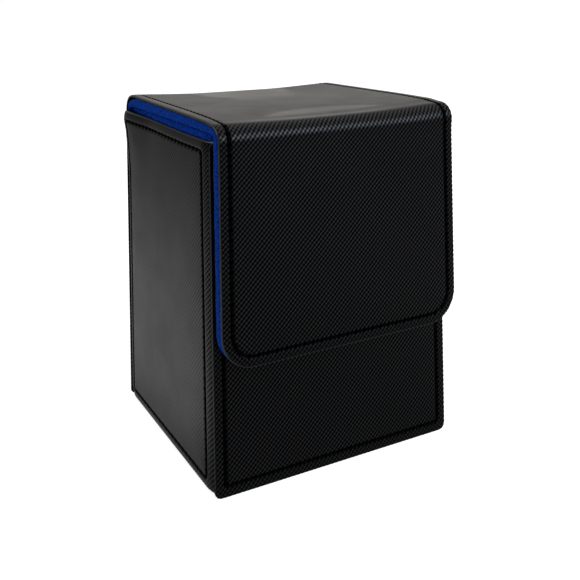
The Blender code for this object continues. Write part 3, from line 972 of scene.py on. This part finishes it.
def cover_lining():
    """The blue lining under the cover, wrapped round the boards of the lid and the flap."""
    leather_depth = SHEET + GLUE_LINE
    lid_depth = TOP_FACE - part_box("lid_lining")[0].z - leather_depth
    flap_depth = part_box("flap_lining")[1].y - FLAP_FACE - leather_depth
    path = Cover()

    def thickness(v):
        at_hinge = rising(v, path.hinge_start, path.hinge_end - path.hinge_start)
        at_fold = rising(v, path.fold_start - 0.002, path.fold_end - path.fold_start + 0.004)
        dip = 1 - 0.25 * np.sin(math.pi * at_fold) ** 2
        plain = HINGE_LINING + (lid_depth - HINGE_LINING) * at_hinge + (flap_depth - lid_depth) * at_fold
        return plain * dip + path.swell(v)

    def clearance(v):
        return HINGE_CLEARANCE * (1 - rising(v, path.hinge_start + 0.002, 0.014))

    def inner_depth(v):
        return leather_depth + thickness(v) + 0.4 * clearance(v)

    def lining_thickness(v):
        return thickness(v) - 0.6 * clearance(v)

    def relief(u, v, hand, turn):
        swell = 0.00005 * np.sin(u * 610 + 1.0) * np.sin(v * 540 + 2.0)
        return np.zeros(u.shape), swell * np.cos(turn / 2), {}

    inner = Cover(inner_depth, flip=True)
    half = HALF_WIDTH - 0.00005
    edge = Edge(0.0007, lid_depth, 0.0014, lower=0.00025)
    foot = PANEL_TOP + 0.0001
    fine = STEP * 2
    rear = sheet_mesh(
        "hinge_lining_cloth", inner, half, foot, path.hinge_end, edge, 0.0016, (True, False), relief, fine,
        lining_thickness,
    )
    dress(rear, LINING)
    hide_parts("hinge_lining")
    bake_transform(rear)
    end = path.end - 0.0001
    front = sheet_mesh(
        "lid_and_flap_lining_cloth", inner, half, path.hinge_end, end, edge, FLAP_CORNER, (False, True),
        relief, fine, lining_thickness,
    )
    dress(front, LINING)
    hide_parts("lid_lining", "fold_lining", "flap_lining")
    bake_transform(front)


# ---------------------------------------------------------------- the tray's lining


def rounded_loop(half_x, half_y, radius, step):
    """Points and outward directions round a rectangle with rounded corners, anticlockwise."""
    points, ways = [], []
    corners = ((1, -1, -90), (1, 1, 0), (-1, 1, 90), (-1, -1, 180))
    for x_side, y_side, start in corners:
        centre = np.array((x_side * (half_x - radius), y_side * (half_y - radius)))
        for turn in np.radians(np.linspace(start, start + 90, 7)):
            way = np.array((math.cos(turn), math.sin(turn)))
            points.append(centre + radius * way)
            ways.append(way * np.abs(way).max() ** -0.75)
        span = 2 * (half_y - radius) if x_side * y_side < 0 else 2 * (half_x - radius)
        count = max(1, round(span / step))
        ahead = np.array((-ways[-1][1], ways[-1][0]))
        for k in range(1, count):
            points.append(centre + radius * ways[-1] + ahead * span * k / count)
            ways.append(ways[-1])
    return np.array(points), np.array(ways)


def tray_profile(outward, foot, rim, lip):
    """The wall lining's closed section: up from its foot, round a padded rim, down to its lip and back.

    Its points are a distance out from the cavity and a height. The lip's index comes with them.
    """
    radius = 0.0009
    sheet = 0.0006
    lift = rim - radius
    full = outward + RIM_BULGE
    heights = np.linspace(foot, lift, 48)
    quarter = np.linspace(0, math.pi / 2, 7)
    points = [(0.0, z) for z in heights]
    points += [(radius - radius * math.cos(a), lift + radius * math.sin(a)) for a in quarter[1:]]
    points += [(full - radius + radius * math.sin(a), lift + radius * math.cos(a)) for a in quarter]
    points += [(full, lip), (full - 0.0002, lip - 0.00005)]
    lip_index = len(points)
    points += [(outward - sheet, lip - 0.00005), (outward - sheet, rim - sheet), (sheet, rim - sheet)]
    points += [(sheet, z) for z in heights[::-6]]
    return np.array(points), lip_index


def tray_lining():
    """The blue lining of the tray: one ring for its four walls, and its floor."""
    left_low, left_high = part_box("lining_left")
    back_low, back_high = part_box("lining_back")
    half_x = -left_high.x
    near_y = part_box("lining_front")[1].y
    far_y = back_low.y
    outward = left_high.x - left_low.x
    lip = PANEL_TOP + 0.0001
    profile, lip_index = tray_profile(outward, left_low.z, left_high.z, lip)
    loop, ways = rounded_loop(half_x, (far_y - near_y) / 2, 0.0016, 0.0012)
    centre = np.array((0.0, (far_y + near_y) / 2))
    place = np.zeros((len(loop), len(profile), 3))
    thinner = (back_high.y - back_low.y) / (outward + RIM_BULGE)
    spread = 1 - (1 - thinner) * smooth(ways[:, 1])
    place[..., :2] = centre + loop[:, None, :]
    place[..., 0] += ways[:, None, 0] * profile[None, :, 0]
    place[..., 1] += ways[:, None, 1] * profile[None, :, 0] * spread[:, None]
    rearness = np.clip((place[..., 1] - near_y) / (far_y - near_y), 0, 1)
    above = rising(profile[None, :, 1], lip, 0.0008)
    above = above * (np.arange(len(profile)) < lip_index)[None, :]
    lid_follow = LINING_FOLLOW * lid_dish(place[..., 0], rearness)
    place[..., 2] = profile[None, :, 1] + above * (RIM_LIFT + lid_follow)
    at_lip = slice(lip_index - 2, lip_index + 1)
    place[:, at_lip, 2] += np.abs(ways[:, None, 0]) * panel_lift(place[:, at_lip, 1] - PANEL_MIDDLE)
    x, y, z = np.moveaxis(place, -1, 0)
    swell = LINING_SWELL * np.sin(x * 700) * np.sin(y * 640 + 1) * np.sin(z * 520)
    place[..., :2] -= ways[:, None, :] * swell[..., None]
    item = tube_object("tray_wall_lining", place)
    dress(item, LINING)
    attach(item, "box")
    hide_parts("lining_left", "lining_right", "lining_front", "lining_back")

    floor_low, floor_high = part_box("lining_floor")
    surface = Flat((0, (floor_low.y + floor_high.y) / 2, floor_high.z), (1, 0, 0), (0, 1, 0))
    edge = Edge(0.00025, floor_high.z - floor_low.z, 0.0008)

    def relief(u, v, hand, turn):
        swell = LINING_SWELL * np.sin(u * 600) * np.sin(v * 520 + 1) * np.cos(turn / 2)
        return np.zeros(u.shape), swell, {}

    half_y = (floor_high.y - floor_low.y) / 2
    floor = sheet_mesh(
        "tray_floor_lining", surface, floor_high.x, -half_y, half_y, edge, 0.0012, (True, True), relief,
        step=STEP * 4,
    )
    dress(floor, LINING)
    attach(floor, "box")
    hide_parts("lining_floor")


def tube_object(name, place):
    """A closed ring swept from sections: place is indexed by section, then by point."""
    rows, columns = place.shape[:2]
    index = np.arange(rows * columns).reshape(rows, columns)
    right = np.roll(index, -1, axis=0)
    loops = [index, right, np.roll(right, -1, axis=1), np.roll(index, -1, axis=1)]
    quads = np.stack(loops, -1).reshape(-1, 4)
    mesh = bpy.data.meshes.new(name)
    mesh.from_pydata(place.reshape(-1, 3).tolist(), [], quads.tolist())
    mesh.shade_smooth()
    return new_object(name, mesh)


# ---------------------------------------------------------------- the carried-over frame


def dress_frame():
    """Materials for the boards and magnets, which stay as the frame has them."""
    for name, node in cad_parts.items():
        if "board" in name:
            material = BOARD
        elif "magnet" in name:
            material = MAGNET
        elif "thread" in name:
            material = THREAD
        elif "lining" in name:
            material = LINING
        else:
            material = LEATHER
        node.data.materials.clear()
        node.data.materials.append(material)


# ---------------------------------------------------------------- studio


def floor():
    """A wide sheet of paper, just under the box."""
    mesh = bpy.data.meshes.new("floor")
    size = 40.0
    corners = [(-size, -size, 0), (size, -size, 0), (size, size, 0), (-size, size, 0)]
    mesh.from_pydata(corners, [], [(0, 1, 2, 3)])
    item = new_object("floor", mesh)
    item.location.z = -0.00005
    item.data.materials.append(floor_material())
    item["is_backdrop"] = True


def surroundings():
    """White to the camera; to the box, a warm bright band behind at the horizon and dim elsewhere."""
    world = bpy.data.worlds.new("studio")
    bpy.context.scene.world = world
    world.use_nodes = True
    graph = Graph(world.node_tree)
    graph.nodes.clear()
    split = graph.add("ShaderNodeSeparateXYZ")
    graph.link(graph.add("ShaderNodeTexCoord").outputs["Generated"], split.inputs[0])
    behind = graph.ramp(split.outputs["Y"], 0.10, 0.70)
    low = graph.ramp(split.outputs["Z"], 0.60, 0.10, 0.52, 1.0)
    rightward = graph.ramp(split.outputs["X"], -0.30, 0.15, 0.13, 1.0)
    band = graph.math("MULTIPLY", graph.math("MULTIPLY", behind, low), rightward)
    lit = graph.add("ShaderNodeBackground", Color=(1.0, 0.97, 0.92, 1))
    graph.link(graph.ramp(band, 0.0, 1.0, 0.04, 0.75), lit.inputs["Strength"])
    seen = graph.add("ShaderNodeBackground", Color=(1.0, 1.0, 1.0, 1), Strength=1.0)
    mix = graph.add("ShaderNodeMixShader")
    graph.link(graph.add("ShaderNodeLightPath").outputs["Is Camera Ray"], mix.inputs[0])
    graph.link(lit.outputs[0], mix.inputs[1])
    graph.link(seen.outputs[0], mix.inputs[2])
    graph.link(mix.outputs[0], graph.add("ShaderNodeOutputWorld").inputs["Surface"])


def soft_light(name, place, target, size, watts, colour=(1, 1, 1)):
    """A rectangular lamp at a place, aimed at the target."""
    data = bpy.data.lights.new(name, "AREA")
    data.shape = "RECTANGLE"
    data.size, data.size_y = size
    data.energy = watts
    data.color = colour
    item = new_object(name, data)
    item.location = place
    aim = Vector(target) - Vector(place)
    item.rotation_euler = aim.to_track_quat("-Z", "Y").to_euler()


def lights():
    """Four soft lamps: the front two cool, the others white."""
    middle = (0, 0, TOP_FACE / 2)
    soft_light("above", (0.16, -0.20, 0.85), middle, (1.4, 1.0), 3.0, (0.94, 0.97, 1.0))
    soft_light("front_high", (0.34, -0.80, 0.50), middle, (0.9, 0.50), 4.4, (0.80, 0.90, 1.0))
    soft_light("right_low", (0.90, 0.10, 0.30), middle, (0.6, 0.4), 1.6)
    soft_light("left_above", (-0.75, 0.35, 0.65), middle, (0.5, 0.35), 1.2)


def camera():
    """The camera at the photograph's angle, placed from the foot of the box's front left edge."""
    data = bpy.data.cameras.new("camera")
    eye = new_object("camera", data)
    foot = Vector((FRONT_LOW.x, FRONT_FACE, 0))
    ahead = Vector((math.sin(EYE_TURN), math.cos(EYE_TURN), 0))
    level = Vector((math.cos(EYE_TURN), -math.sin(EYE_TURN), 0))
    up = Vector((0, 0, 1))
    right = math.cos(EYE_ROLL) * level + math.sin(EYE_ROLL) * up
    above = math.cos(EYE_ROLL) * up - math.sin(EYE_ROLL) * level
    turn = Matrix((right, above, -ahead)).transposed()
    eye.matrix_world = Matrix.Translation(foot + EYE_FROM_FOOT) @ turn.to_4x4()
    data.lens = LENS
    data.clip_start = 0.01
    data.clip_end = 50
    hold_shift(eye, data)
    bpy.context.scene.camera = eye


def hold_shift(eye, data):
    """Shifts the frame only while the camera stands at its own place, so that other views stay centred."""
    driver = data.driver_add("shift_y").driver
    driver.type = "SCRIPTED"
    across = driver.variables.new()
    across.name = "across"
    across.type = "TRANSFORMS"
    across.targets[0].id = eye
    across.targets[0].transform_type = "LOC_X"
    across.targets[0].transform_space = "WORLD_SPACE"
    home = eye.matrix_world.translation.x
    driver.expression = f"{FRAME_SHIFT} if abs(across - {home:.6f}) < 0.0005 else 0.0"


def write_sizes():
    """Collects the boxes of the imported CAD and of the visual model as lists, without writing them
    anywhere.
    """
    boxes = {"cad": CAD_BOX, "visual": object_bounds()}
    lists = {label: [list(corner) for corner in box] for label, box in boxes.items()}


dress_frame()
side_panels()
front_panel()
base_panel()
cover_leather()
cover_lining()
tray_lining()
floor()
surroundings()
lights()
camera()
bpy.context.scene.view_settings.view_transform = "Standard"
write_sizes()
